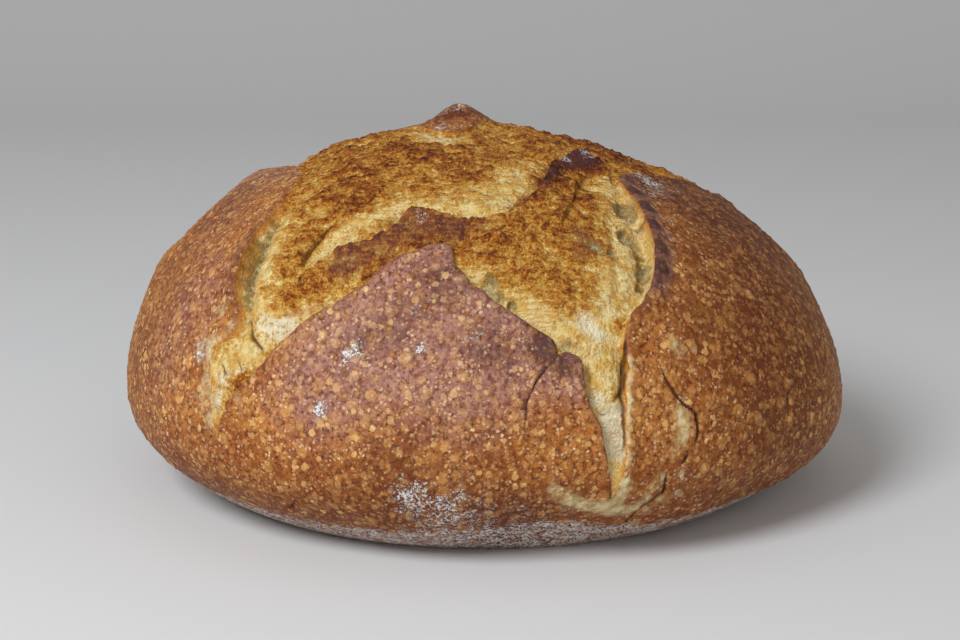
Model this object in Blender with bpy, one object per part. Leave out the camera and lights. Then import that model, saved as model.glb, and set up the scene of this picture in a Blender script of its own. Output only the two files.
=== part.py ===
"""A round sourdough loaf, 25 cm across, slashed on top and torn open in the oven.

The loaf is one closed solid. Its form is worked out in three steps:
1. a plain round loaf: a superellipse dome over a rounded heel and a flat base;
2. a flat crust map (u, v) of that form, measured in millimetres of arc from the crown,
   on which the tear's edge and the edge of the raised flap are drawn as smooth curves;
3. relief along those curves: lifted lips of crust, torn grooves and the craggy torn top.

Run it with: blender --background --python part.py
"""
import bpy
import numpy as np
from mathutils import Vector, noise

# Driving sizes of the plain loaf, in millimetres
HALF_WIDTH = 125.0
HALF_DEPTH = 116.5
DOME_HEIGHT = 119.5
BELLY_HEIGHT = 34.0
BASE_RATIO = 0.74
MILLIMETRE = 0.001

# Roundness of the dome's section (a superellipse) and of the heel under the belly
DOME_FLATNESS_ACROSS = 2.4
DOME_FLATNESS_UP = 1.83
HEEL_ROUNDNESS = 2.2

# The dough settled unevenly: the crown leans this far, and one side stands higher
CROWN_SHIFT_X = -6.0
CROWN_SHIFT_Y = -10.0
RISE_ALONG_X = -0.017
RISE_ALONG_Y = 0.11

# The mesh: cells from side to side, and how much finer they are at the crown
CELLS_ACROSS = 72
CROWN_FINENESS = 0.74
EDGE_REACH = 14.0
EDGE_GATHER = 1.8
FLAP_REACH = 8.0
FLAP_GATHER = 1.5

# The tear's edge on the crust map: (u, v, height of the lip, depth of the groove inside it)
FRONT_PLATE_RIGHT = [
    (-8, -77, 1.2, 0.6), (-6, -86, 1.2, 0.8), (-1, -95, 1.4, 1.6), (6, -102, 1.6, 2.2),
    (13, -108, 1.6, 2.2), (18, -110, 1.5, 2.0), (23, -113, 1.4, 1.8), (27, -116, 1.3, 1.6),
    (28, -120, 1.1, 1.4), (32, -119, 1.4, 1.5), (36, -120, 1.6, 1.8), (38, -128, 1.5, 1.8),
    (41, -135, 1.3, 1.6), (46, -141, 1.2, 1.6), (50, -149, 1.0, 1.4), (54, -157, 0.7, 1.0),
]
RIGHT_PLATE = [
    (59, -164, 0.3, 0.4), (60, -154, 0.6, 1.0), (59, -144, 0.8, 1.2), (56, -133, 0.9, 1.4),
    (55, -124, 0.9, 1.4), (54, -115, 0.9, 1.2),
    (52, -107, 0.8, 0.8), (54, -97, 1.2, 1.2), (59, -86, 1.8, 1.8), (61, -74, 2.4, 2.2),
    (61, -62, 2.6, 2.4), (59, -50, 2.6, 2.4), (56, -39, 2.4, 2.0), (52, -28, 2.0, 1.4),
    (50, -19, 1.6, 0.9), (56, -8, 1.0, 0.6), (68, 6, 0.8, 0.8), (86, 24, 1.0, 1.6),
    (101, 44, 1.4, 2.2), (114, 66, 1.2, 2.0),
]
BACK_PLATE = [
    (124, 92, 0.5, 0.6), (104, 82, 1.2, 2.0), (84, 76, 1.4, 2.2), (64, 70, 1.2, 2.0),
    (44, 64, 0.9, 1.4), (26, 54, 0.5, 0.7), (12, 42, 0.3, 0.4), (5, 28, 0.5, 0.3),
    (0, 17, 0.8, 0.5), (-7, 12, 0.9, 0.7), (-13, 19, 0.6, 0.5), (-19, 34, 0.4, 0.4),
    (-30, 56, 1.0, 1.4), (-48, 78, 1.4, 2.4), (-62, 94, 1.2, 2.0),
]
LEFT_PLATE = [
    (-80, 112, 0.4, 0.6), (-76, 90, 0.8, 1.6), (-72, 68, 0.8, 1.4), (-68, 46, 0.4, 0.7),
    (-63, 26, 0.2, 0.3), (-59, 8, 0.2, 0.2), (-57, -8, 0.2, 0.2), (-58, -22, 0.4, 0.3),
    (-62, -34, 0.9, 1.0), (-70, -45, 1.4, 2.0), (-78, -58, 1.7, 2.6), (-83, -70, 1.7, 2.6),
    (-84, -82, 1.2, 1.9), (-87, -87, 0.8, 1.2), (-92, -87, 0.5, 0.8), (-98, -87, 0.4, 0.6),
    (-101, -91, 0.4, 0.6), (-103, -97, 0.4, 0.6), (-106, -104, 0.3, 0.5),
]
FRONT_PLATE_LEFT = [
    (-112, -115, 0.2, 0.4), (-101, -110, 0.4, 0.7), (-86, -107, 0.8, 1.2), (-70, -102, 1.0, 1.4),
    (-56, -97, 1.2, 1.4), (-40, -92, 1.0, 0.9), (-31, -85, 1.0, 0.5), (-20, -79, 1.0, 0.4),
]
TEAR_EDGE = FRONT_PLATE_RIGHT + RIGHT_PLATE + BACK_PLATE + LEFT_PLATE + FRONT_PLATE_LEFT

# The raised flap and terrace inside the tear: (u, v, rise of its edge, depth of the groove past it)
FLAP_EDGE = [
    (-60, -84, 0.0, 0.0), (-54, -78, 1.4, 1.8), (-46, -73, 2.2, 2.2), (-38, -73, 2.6, 2.4),
    (-30, -71, 2.8, 2.4), (-24, -67, 2.8, 2.4), (-19, -60, 2.8, 2.2), (-10, -62, 2.4, 1.8),
    (0, -64, 1.8, 1.4), (10, -62, 1.6, 1.2), (17, -54, 2.0, 1.4), (22, -47, 2.6, 1.8),
    (25, -38, 3.0, 2.0), (27, -28, 3.4, 2.2), (31, -18, 3.8, 2.2), (36, -9, 3.8, 1.8),
    (43, -12, 2.6, 1.4), (46, -24, 1.0, 1.4), (45, -40, 0.4, 1.6), (44, -56, 0.2, 1.4),
    (46, -74, 0.2, 1.2), (45, -91, 0.3, 1.0), (37, -101, 0.4, 1.0), (22, -99, 0.4, 1.2),
    (10, -93, 0.5, 1.2), (3, -86, 0.4, 0.8), (-2, -81, 0.0, 0.0),
]

# Widths of the relief on either side of those edges; the wall widens with the groove's depth
LIP_REACH = 9.0
LIP_SHARPNESS = 1.4
WALL_WIDTH = 1.2
WALL_SLANT = 0.5
GROOVE_REACH = 4.2
SINK_SHARE = 0.7
TORN_BULGE_REACH = 16.0
FLAP_FALL = 13.0
FLAP_SHARPNESS = 1.5
FLAP_GROOVE_REACH = 5.0

# Broad swells and hollows: (u, v, radius, height)
SWELLS = [
    (-3.5, 33, 9.5, 8.2), (-78, 20, 13, 1.2), (-90, 18, 10, -1.2), (-64, 20, 7, -3.5), (-60, 32, 11, -4.2),
    (-55, 4, 17, -4.0), (-40, 44, 6, -1.2), (18, 38, 12, 0.9), (36, -4, 12, 1.2), (58, 12, 18, -2.2),
    (65, 37, 9, -2.4), (84, 20, 9, -1.6), (119, 2, 16, 1.9), (-117, 2, 13, 1.6), (-10, -20, 28, 1.6),
    (-70, -68, 14, 1.2), (30, -175, 36, -2.6), (-70, 120, 36, 2.0), (90, 120, 34, -2.2), (20, 120, 40, 1.6),
    (150, -60, 40, 1.4), (-106, 5, 8, -1.8), (-67, 43, 7, -2.0),
]
UNEVEN_SWELL = 1.1
UNEVEN_LENGTH = 46.0
CRAG_HEIGHT = 1.5
CRAG_LENGTH = 13.0
FOOT_SETTLE = 14.0

CRUST_COLOUR = (0.33, 0.135, 0.045, 1.0)
CRUST_ROUGHNESS = 0.62


def loaf_section():
    """The plain loaf's half section from the crown to the foot: arc, radius ratio, height."""
    steps = np.linspace(0.0, np.pi / 2, 240)
    down = np.linspace(0.0, 1.0, 90)[1:]
    dome_ratio = np.sin(steps) ** (2 / DOME_FLATNESS_ACROSS)
    dome_rise = np.cos(steps) ** (2 / DOME_FLATNESS_UP)
    heel_ratio = BASE_RATIO + (1 - BASE_RATIO) * (1 - down ** HEEL_ROUNDNESS)
    ratio = np.concatenate([dome_ratio, heel_ratio])
    height = np.concatenate([
        BELLY_HEIGHT + (DOME_HEIGHT - BELLY_HEIGHT) * dome_rise,
        BELLY_HEIGHT * (1 - down),
    ])
    mean_radius = (HALF_WIDTH + HALF_DEPTH) / 2
    strides = np.hypot(np.diff(ratio * mean_radius), np.diff(height))
    return np.concatenate([[0.0], np.cumsum(strides)]), ratio, height


SECTION_ARC, SECTION_RATIO, SECTION_HEIGHT = loaf_section()
FOOT_ARC = SECTION_ARC[-1]


def plain_form(u, v):
    """The plain loaf's surface at places on the crust map."""
    arc = np.hypot(u, v)
    around = np.arctan2(v, u)
    ratio = np.interp(arc, SECTION_ARC, SECTION_RATIO)
    z = np.interp(arc, SECTION_ARC, SECTION_HEIGHT)
    radius = 1 / np.hypot(np.cos(around) / HALF_WIDTH, np.sin(around) / HALF_DEPTH)
    x = ratio * radius * np.cos(around)
    y = ratio * radius * np.sin(around)
    crown = np.clip(z / DOME_HEIGHT, 0, 1) ** 2
    x = x + CROWN_SHIFT_X * crown
    y = y + CROWN_SHIFT_Y * crown
    z = z + (RISE_ALONG_X * x + RISE_ALONG_Y * y) * crown
    return np.stack([x, y, z], axis=-1)


def outward(u, v):
    """Unit normals of the plain loaf, from small steps across the crust map."""
    step = 0.5
    across = plain_form(u + step, v) - plain_form(u - step, v)
    along = plain_form(u, v + step) - plain_form(u, v - step)
    normal = np.cross(across, along)
    return normal / np.linalg.norm(normal, axis=-1, keepdims=True)


def smooth_curve(points, closed, spacing=1.5):
    """A Catmull-Rom curve through the points, which carries their heights and depths along."""
    points = np.array(points, float)
    count = len(points)
    spans = count if closed else count - 1
    samples = []
    for span in range(spans):
        picks = [span - 1, span, span + 1, span + 2]
        if closed:
            before, start, end, after = (points[pick % count] for pick in picks)
        else:
            before, start, end, after = (points[min(max(pick, 0), count - 1)] for pick in picks)
        pieces = max(2, int(np.hypot(*(end - start)[:2]) / spacing))
        for t in np.arange(pieces) / pieces:
            samples.append(0.5 * (2 * start + (end - before) * t
                                  + (2 * before - 5 * start + 4 * end - after) * t ** 2
                                  + (3 * start - before - 3 * end + after) * t ** 3))
    samples.append(points[0] if closed else points[-1])
    samples = np.array(samples)
    samples[:, 2:] = np.maximum(samples[:, 2:], 0)
    return samples


def nearest_on(curve, u, v):
    """For each place: the nearest point of the curve, the distance, the side and the carried values."""
    starts, ends = curve[:-1], curve[1:]
    spans = ends[:, :2] - starts[:, :2]
    lengths = np.maximum((spans ** 2).sum(axis=1), 1e-9)
    place = np.stack([u, v], axis=-1)
    offset = place[:, None, :] - starts[None, :, :2]
    share = np.clip((offset * spans).sum(axis=2) / lengths, 0, 1)
    gap = offset - share[..., None] * spans
    far = np.hypot(gap[..., 0], gap[..., 1])
    pick = far.argmin(axis=1)
    row = np.arange(len(pick))
    share = share[row, pick][:, None]
    on_curve = starts[pick] + share * (ends - starts)[pick]
    gap = gap[row, pick]
    side = np.sign(spans[pick, 0] * gap[:, 1] - spans[pick, 1] * gap[:, 0])
    return on_curve[:, :2], far[row, pick], side, on_curve[:, 2], on_curve[:, 3]


def inside(curve, u, v):
    """Whether each place lies inside the closed curve, by counting crossings."""
    x1, y1 = curve[:-1, 0], curve[:-1, 1]
    x2, y2 = curve[1:, 0], curve[1:, 1]
    straddles = (y1 > v[:, None]) != (y2 > v[:, None])
    rise = np.where(y2 == y1, 1e-9, y2 - y1)
    crossing = x1 + (v[:, None] - y1) * (x2 - x1) / rise
    return (straddles & (u[:, None] < crossing)).sum(axis=1) % 2 == 1


def gather(curve, u, v, reach, power):
    """Draw the mesh's places towards a curve, so that its edge is sharp."""
    on_curve, far, _, _, _ = nearest_on(curve, u, v)
    near = far < reach
    shrink = np.where(near, np.maximum(far, 1e-6) / reach, 1) ** (power - 1)
    return (on_curve[:, 0] + (u - on_curve[:, 0]) * shrink,
            on_curve[:, 1] + (v - on_curve[:, 1]) * shrink)


def swell(u, v):
    """Broad unevenness of the whole loaf."""
    height = np.zeros_like(u)
    for centre_u, centre_v, radius, rise in SWELLS:
        height += rise * np.exp(-((u - centre_u) ** 2 + (v - centre_v) ** 2) / radius ** 2)
    return height


def smooth_noise(points, length):
    """Smooth noise between about -1 and 1, with features of the given length."""
    return np.array([noise.noise(Vector(point / length)) for point in points])


def relief(u, v, places):
    """Height of the finished crust above the plain loaf."""
    _, far, _, lip, groove = nearest_on(TEAR_CURVE, u, v)
    torn = inside(TEAR_CURVE, u, v)
    _, flap_far, flap_side, flap_rise, flap_groove = nearest_on(FLAP_CURVE, u, v)
    on_flap = flap_side < 0

    crust = lip * np.exp(-(far / LIP_REACH) ** LIP_SHARPNESS)

    wall_width = WALL_WIDTH + WALL_SLANT * groove
    wall = np.clip(far / wall_width, 0, 1)
    wall = wall * wall * (3 - 2 * wall)
    sink = SINK_SHARE * groove * np.exp(-far / TORN_BULGE_REACH)
    tear_groove = groove * np.exp(-(np.maximum(far - wall_width, 0) / GROOVE_REACH) ** 2)
    past_flap = flap_groove * np.exp(-(flap_far / FLAP_GROOVE_REACH) ** 2)
    flap_top = flap_rise * np.exp(-(flap_far / FLAP_FALL) ** FLAP_SHARPNESS)
    floor = np.where(on_flap, flap_top - tear_groove, -np.maximum(tear_groove, past_flap)) - sink
    crags = CRAG_HEIGHT * smooth_noise(places, CRAG_LENGTH) * np.clip(far / wall_width - 1, 0, 1)
    torn_top = lip * (1 - wall) + (floor + crags) * wall

    height = np.where(torn, torn_top, crust)
    height += swell(u, v) + UNEVEN_SWELL * smooth_noise(places, UNEVEN_LENGTH)
    settled = np.clip((FOOT_ARC - np.hypot(u, v)) / FOOT_SETTLE, 0, 1)
    return height * settled * settled * (3 - 2 * settled)


def crust_grid():
    """A square grid wrapped over the crust map as a disc, with finer cells at the crown."""
    ticks = np.linspace(-1, 1, CELLS_ACROSS + 1)
    a, b = np.meshgrid(ticks, ticks, indexing="ij")
    ring = np.maximum(np.abs(a), np.abs(b))
    wide = np.abs(a) >= np.abs(b)
    along = np.where(wide, a, b)
    across = np.where(wide, b, a)
    turn = np.pi / 4 * across / np.where(along == 0, 1, along)
    flat_u = np.where(wide, along * np.cos(turn), along * np.sin(turn))
    flat_v = np.where(wide, along * np.sin(turn), along * np.cos(turn))
    arc = FOOT_ARC * (CROWN_FINENESS + (1 - CROWN_FINENESS) * ring ** 2)
    return (flat_u * arc).ravel(), (flat_v * arc).ravel(), ring.ravel()


def crust_places(u, v):
    """The finished surface, in millimetres, with the foot on z = 0."""
    plain = plain_form(u, v)
    places = plain + relief(u, v, plain)[:, None] * outward(u, v)
    places[:, 2] = np.maximum(places[:, 2], 0)
    return places


def crust_triangles(places):
    """Two triangles for each cell, split across its shorter diagonal."""
    side = CELLS_ACROSS + 1
    triangles = []
    for row in range(CELLS_ACROSS):
        for column in range(CELLS_ACROSS):
            a = row * side + column
            b, c, d = a + side, a + side + 1, a + 1
            if np.linalg.norm(places[a] - places[c]) < np.linalg.norm(places[b] - places[d]):
                triangles += [(a, b, c), (a, c, d)]
            else:
                triangles += [(a, b, d), (b, c, d)]
    return triangles


def foot_loop():
    """The grid's outer cells in order, seen from below, for the flat base."""
    side = CELLS_ACROSS + 1
    last = CELLS_ACROSS
    loop = [column for column in range(last)]
    loop += [row * side + last for row in range(last)]
    loop += [last * side + column for column in range(last, 0, -1)]
    loop += [row * side for row in range(last, 0, -1)]
    return loop


def crust_material():
    material = bpy.data.materials.new("baked_crust")
    material.use_nodes = True
    shader = material.node_tree.nodes["Principled BSDF"]
    shader.inputs["Base Color"].default_value = CRUST_COLOUR
    shader.inputs["Roughness"].default_value = CRUST_ROUGHNESS
    shader.inputs["Metallic"].default_value = 0.0
    return material


def build_loaf():
    u, v, ring = crust_grid()
    foot = ring > 1 - 1e-9
    gathered_u, gathered_v = gather(FLAP_CURVE, u, v, FLAP_REACH, FLAP_GATHER)
    gathered_u, gathered_v = gather(TEAR_CURVE, gathered_u, gathered_v, EDGE_REACH, EDGE_GATHER)
    u, v = np.where(foot, u, gathered_u), np.where(foot, v, gathered_v)
    places = crust_places(u, v)
    places[foot, 2] = 0.0

    middle = (places.min(axis=0) + places.max(axis=0)) / 2
    places -= [middle[0], middle[1], 0.0]

    faces = crust_triangles(places) + [foot_loop()]
    mesh = bpy.data.meshes.new("loaf")
    mesh.from_pydata((places * MILLIMETRE).tolist(), [], faces)
    mesh.validate()
    mesh.shade_smooth()
    mesh.materials.append(crust_material())
    loaf = bpy.data.objects.new("loaf", mesh)
    bpy.context.scene.collection.objects.link(loaf)
    return loaf


for leftover in list(bpy.data.objects):
    bpy.data.objects.remove(leftover, do_unlink=True)

TEAR_CURVE = smooth_curve(TEAR_EDGE, closed=True)
FLAP_CURVE = smooth_curve(FLAP_EDGE, closed=False)
build_loaf()
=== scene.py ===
"""A round sourdough loaf with its baked finish: blistered crust, torn dough and dusted flour.

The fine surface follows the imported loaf: the same plain form, crust map, tear and flap, at about
half a millimetre. Everything on the crust map (u, v) is in millimetres of arc from the crown,
with v negative towards the front.
"""

import bpy
import numpy as np
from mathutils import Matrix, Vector, kdtree, noise


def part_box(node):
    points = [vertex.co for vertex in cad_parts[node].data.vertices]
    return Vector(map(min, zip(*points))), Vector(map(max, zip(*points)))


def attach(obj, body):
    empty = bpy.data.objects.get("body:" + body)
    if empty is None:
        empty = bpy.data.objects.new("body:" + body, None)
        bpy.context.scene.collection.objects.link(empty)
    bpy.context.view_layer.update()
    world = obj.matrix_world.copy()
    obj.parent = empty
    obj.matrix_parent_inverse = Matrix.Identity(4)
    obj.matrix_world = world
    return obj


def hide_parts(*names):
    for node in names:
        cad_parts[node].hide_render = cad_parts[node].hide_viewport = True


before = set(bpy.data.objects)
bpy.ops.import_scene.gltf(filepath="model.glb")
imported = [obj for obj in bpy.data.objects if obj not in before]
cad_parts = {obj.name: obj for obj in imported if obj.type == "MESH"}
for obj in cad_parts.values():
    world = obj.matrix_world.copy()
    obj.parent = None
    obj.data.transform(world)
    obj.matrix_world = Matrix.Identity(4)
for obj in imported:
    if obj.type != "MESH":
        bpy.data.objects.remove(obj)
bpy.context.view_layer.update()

MILLIMETRE = 0.001

# The plain loaf: a superellipse dome over a rounded heel
HALF_WIDTH = 125.0
HALF_DEPTH = 116.5
DOME_HEIGHT = 119.5
BELLY_HEIGHT = 34.0
BASE_RATIO = 0.74
DOME_FLATNESS_ACROSS = 2.4
DOME_FLATNESS_UP = 1.83
HEEL_ROUNDNESS = 2.2
CROWN_SHIFT_X = -6.0
CROWN_SHIFT_Y = -10.0
RISE_ALONG_X = -0.017
RISE_ALONG_Y = 0.11

# The fine mesh
CELLS_ACROSS = 600
CROWN_FINENESS = 0.74
EDGE_REACH = 14.0
EDGE_GATHER = 1.7
FLAP_REACH = 8.0
FLAP_GATHER = 1.4

# The tear's edge on the crust map: (u, v, height of the lip, depth of the groove inside it)
FRONT_PLATE_RIGHT = [
    (-8, -77, 1.2, 0.6), (-6, -86, 1.2, 0.8), (-1, -95, 1.4, 1.6), (6, -102, 1.6, 2.2),
    (13, -108, 1.6, 2.2), (18, -110, 1.5, 2.0), (23, -113, 1.4, 1.8), (27, -116, 1.3, 1.6),
    (28, -120, 1.1, 1.4), (32, -119, 1.4, 1.5), (36, -120, 1.6, 1.8), (38, -128, 1.5, 1.8),
    (41, -135, 1.3, 1.6), (46, -141, 1.2, 1.6), (50, -149, 1.0, 1.4), (54, -157, 0.7, 1.0),
]
RIGHT_PLATE = [
    (59, -164, 0.3, 0.4), (60, -154, 0.6, 1.0), (59, -144, 0.8, 1.2), (56, -133, 0.9, 1.4),
    (55, -124, 0.9, 1.4), (54, -115, 0.9, 1.2), (52, -107, 0.8, 0.8), (54, -97, 1.2, 1.2),
    (59, -86, 1.8, 1.8), (61, -74, 2.4, 2.2), (61, -62, 2.6, 2.4), (59, -50, 2.6, 2.4),
    (56, -39, 2.4, 2.0), (52, -28, 2.0, 1.4), (50, -19, 1.6, 0.9), (56, -8, 1.0, 0.6),
    (68, 6, 0.8, 0.8), (86, 24, 1.0, 1.6), (101, 44, 1.4, 2.2), (114, 66, 1.2, 2.0),
]
BACK_PLATE = [
    (124, 92, 0.5, 0.6), (104, 82, 1.2, 2.0), (84, 76, 1.4, 2.2), (64, 70, 1.2, 2.0),
    (44, 64, 0.9, 1.4), (26, 54, 0.5, 0.7), (12, 42, 0.3, 0.4), (5, 28, 0.5, 0.3),
    (0, 17, 0.8, 0.5), (-7, 12, 0.9, 0.7), (-13, 19, 0.6, 0.5), (-19, 34, 0.4, 0.4),
    (-30, 56, 1.0, 1.4), (-48, 78, 1.4, 2.4), (-62, 94, 1.2, 2.0),
]
LEFT_PLATE = [
    (-80, 112, 0.4, 0.6), (-76, 90, 0.8, 1.6), (-72, 68, 0.8, 1.4), (-68, 46, 0.4, 0.7),
    (-63, 26, 0.2, 0.3), (-59, 8, 0.2, 0.2), (-57, -8, 0.2, 0.2), (-58, -22, 0.4, 0.3),
    (-62, -34, 0.9, 1.0), (-70, -45, 1.4, 2.0), (-78, -58, 1.7, 2.6), (-83, -70, 1.7, 2.6),
    (-84, -82, 1.2, 1.9), (-87, -87, 0.8, 1.2), (-92, -87, 0.5, 0.8), (-98, -87, 0.4, 0.6),
    (-101, -91, 0.4, 0.6), (-103, -97, 0.4, 0.6), (-106, -104, 0.3, 0.5),
]
FRONT_PLATE_LEFT = [
    (-112, -115, 0.2, 0.4), (-101, -110, 0.4, 0.7), (-86, -107, 0.8, 1.2), (-70, -102, 1.0, 1.4),
    (-56, -97, 1.2, 1.4), (-40, -92, 1.0, 0.9), (-31, -85, 1.0, 0.5), (-20, -79, 1.0, 0.4),
]
TEAR_EDGE = FRONT_PLATE_RIGHT + RIGHT_PLATE + BACK_PLATE + LEFT_PLATE + FRONT_PLATE_LEFT

# The raised flap and terrace inside the tear: (u, v, rise of its edge, depth of the groove past it)
FLAP_EDGE = [
    (-60, -84, 0.0, 0.0), (-54, -78, 1.4, 1.8), (-46, -73, 2.2, 2.2), (-38, -73, 2.6, 2.4),
    (-30, -71, 2.8, 2.4), (-24, -67, 2.8, 2.4), (-19, -60, 2.8, 2.2), (-10, -62, 2.4, 1.8),
    (0, -64, 1.8, 1.4), (10, -62, 1.6, 1.2), (17, -54, 2.0, 1.4), (22, -47, 2.6, 1.8),
    (25, -38, 3.0, 2.0), (27, -28, 3.4, 2.2), (31, -18, 3.8, 2.2), (36, -9, 3.8, 1.8),
    (43, -12, 2.6, 1.4), (46, -24, 1.0, 1.4), (45, -40, 0.4, 1.6), (44, -56, 0.2, 1.4),
    (46, -74, 0.2, 1.2), (45, -91, 0.3, 1.0), (37, -101, 0.4, 1.0), (22, -99, 0.4, 1.2),
    (10, -93, 0.5, 1.2), (3, -86, 0.4, 0.8), (-2, -81, 0.0, 0.0),
]

# Fine cracks in the crust: (u, v, depth, half width)
CRACKS = [
    [(28, -121, 0.4, 0.4), (22, -128, 0.9, 0.5), (18, -136, 0.8, 0.45), (17, -146, 0.6, 0.4),
     (18, -158, 0.0, 0.3)],
    [(18, -140, 0.6, 0.4), (14, -140, 0.5, 0.4), (10, -139, 0.0, 0.3)],
    [(64, -108, 0.0, 0.4), (68, -114, 0.9, 0.6), (75, -120, 1.2, 0.7), (83, -122, 1.3, 0.75),
     (87, -127, 1.3, 0.75), (87, -133, 0.0, 0.5)],
    [(86, -135, 0.0, 0.5), (85, -139, 1.3, 0.7), (83, -142, 0.0, 0.4)],
    [(78, -145, 0.0, 0.4), (80, -149, 1.0, 0.6), (82, -153, 1.2, 0.7), (80, -157, 1.4, 0.8),
     (78, -161, 1.4, 0.8), (77, -166, 1.4, 0.8), (78, -171, 1.4, 0.8), (84, -178, 0.9, 0.7)],
    [(53, -107, 0.6, 0.5), (53, -113, 1.4, 0.9), (53.5, -119, 1.9, 1.1), (53.5, -125, 1.7, 1.0),
     (54, -129, 1.1, 0.7), (55.5, -135, 1.0, 0.6), (57.5, -143, 0.9, 0.5), (59, -154, 0.0, 0.4)],
    [(48, -132, 0.0, 0.6), (51, -130, 0.8, 0.9), (53, -127, 0.8, 0.9)],
    [(43, -134, 0.0, 0.4), (48, -137, 0.9, 0.5), (53, -137, 0.7, 0.4), (55, -136, 0.0, 0.3)],
    [(55, -155, 0.0, 0.5), (57, -158, 1.1, 0.8), (58, -162, 1.1, 0.8), (59, -165, 0.0, 0.5)],
    [(-97, -92, 0.0, 0.4), (-97, -97, 1.1, 0.6), (-98, -101, 0.0, 0.4)],
    [(-89, -97, 0.0, 0.4), (-90, -101, 0.9, 0.5), (-91, -105, 0.0, 0.4)],
    [(-82, -81, 0.0, 0.6), (-82, -87, 1.3, 0.9), (-82, -93, 1.5, 1.0), (-80, -98, 1.0, 0.7),
     (-79, -101, 0.0, 0.4)],
    [(-106, -104, 0.0, 0.4), (-107, -109, 1.1, 0.6), (-109, -113, 0.0, 0.4)],
    [(-44, -56, 0.0, 0.7), (-49, -60, 2.0, 1.3), (-55, -67, 2.4, 1.5), (-58, -76, 0.0, 0.8)],
    [(-42, -47, 0.0, 0.6), (-35, -48, 1.4, 1.0), (-28, -42, 0.0, 0.6)],
    [(-90, -153, 0.0, 0.4), (-98, -154, 1.0, 0.6), (-110, -152, 0.0, 0.4)],
    [(124, -78, 0.0, 0.4), (122, -86, 0.8, 0.6), (127, -94, 0.0, 0.4)],
    [(-34, 130, 0.0, 0.4), (-24, 140, 1.2, 0.7), (-10, 146, 1.4, 0.8), (2, 158, 0.0, 0.4)],
    [(-150, 30, 0.0, 0.4), (-156, 42, 1.2, 0.7), (-152, 60, 1.2, 0.7), (-158, 72, 0.0, 0.4)],
    [(118, 110, 0.0, 0.4), (110, 122, 1.2, 0.7), (104, 138, 0.0, 0.4)],
]

# The relief on either side of those edges; the wall widens with the groove's depth
LIP_REACH = 9.0
LIP_SHARPNESS = 1.4
WALL_WIDTH = 1.2
WALL_SLANT = 0.5
GROOVE_REACH = 4.2
SINK_SHARE = 0.7
TORN_BULGE_REACH = 16.0
FLAP_FALL = 13.0
FLAP_SHARPNESS = 1.5
FLAP_GROOVE_REACH = 5.0
FLAP_WALL = 1.1
BEAD_HEIGHT = 0.26
BEAD_PLACE = 2.0
BEAD_WIDTH = 1.9
HOLLOW_PLACE = 7.0
HOLLOW_WIDTH = 2.6
OVERHANG = 0.42
OVERHANG_INSIDE = 0.5
OVERHANG_OUTSIDE = 3.5
UNDERCUT = 0.30
UNDERCUT_WALLS = 1.6

# The unevenness along those edges
EDGE_FADE = 0.2
LIP_WAVER = 0.25
FLAP_WAVER = 0.2
CORNER_DROP = 0.5
CORNER_WIDTH = 1.1
STEEP_RISE = 2.0
GENTLE_WALL = 3.0

# The craggy layers of the torn dough; they are calmer where it stayed pale
COARSE_HEIGHT = 1.5
COARSE_LENGTH = 13.0
ROUGH_LENGTH = 2.9
FLAKE_LENGTH = 5.2
GRIT_LENGTH = 1.2
LAYER_HEIGHTS = {"rough": 0.55, "flakes": 0.85, "grit": 0.3}
STRAND_HEIGHT = 0.4
STRAND_LENGTH = 1.2
STRAND_FADE = 0.15
STRAND_REACH = 9.0
FLAP_STRAND_REACH = 8.0
PALE_CALM = 0.45

# The skin of the crust and its blisters; a blister's size is a share of its cell
SKIN_HEIGHT = 0.14
SKIN_LENGTH = 2.0
BLISTER_CELL = 3.3
BLISTER_SIZE = 0.30
BLISTER_SPREAD = 0.24
BLISTER_RISE = 0.30
BIG_BLISTER_RISE = 0.45
CRACK_RAGGEDNESS = 0.5
CRACK_SPAN = 45.0

# Broad swells and hollows: (u, v, radius, height)
SWELLS = [
    (-3.5, 33, 9.5, 8.2), (-78, 20, 13, 1.2), (-90, 18, 10, -1.2), (-64, 20, 7, -3.5),
    (-60, 32, 11, -4.2), (-55, 4, 17, -4.0), (-40, 44, 6, -1.2), (18, 38, 12, 0.9),
    (36, -4, 12, 1.2), (58, 12, 18, -2.2), (65, 37, 9, -2.4), (84, 20, 9, -1.6), (119, 2, 16, 1.9),
    (-117, 2, 13, 1.6), (-10, -20, 28, 1.6), (-70, -68, 14, 1.2), (30, -175, 36, -2.6),
    (-70, 120, 36, 2.0), (90, 120, 34, -2.2), (20, 120, 40, 1.6), (150, -60, 40, 1.4),
    (-106, 5, 8, -1.8), (-67, 43, 7, -2.0),
]
UNEVEN_SWELL = 1.1
UNEVEN_LENGTH = 46.0
FOOT_SETTLE = 14.0

# Open bubbles in the torn crumb: (u, v, radius, depth)
BUBBLES = [
    (-66, -43, 1.6, 1.0), (-68, -48, 2.2, 1.6), (-71, -53, 3.0, 2.4), (-73.5, -58, 3.6, 2.8),
    (-76, -63, 3.8, 3.0), (-78, -68, 3.6, 2.8), (-79, -73, 3.0, 2.2), (-80, -78, 2.0, 1.4),
    (52, -39, 4.2, 3.6), (56, -40, 2.6, 2.4), (57, -48, 1.6, 1.2), (52, -56, 3.4, 2.8),
    (55, -58, 2.4, 2.2), (57, -63, 2.0, 1.8), (58, -69, 2.4, 2.2), (58, -74, 2.2, 2.0),
    (57, -80, 1.6, 1.2), (42, -68, 3.0, 0.9), (47, -69, 2.0, 0.8), (6, -93, 3.0, 1.2),
    (8, -98, 2.6, 1.2), (13, -101, 1.8, 1.4), (32, -114, 1.7, 1.2), (-66, 56, 3.2, 1.8),
    (-73, 78, 2.4, 1.5), (78, 50, 3.2, 1.8), (102, 68, 2.4, 1.5), (-48, 28, 2.2, 1.2),
]
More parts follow.
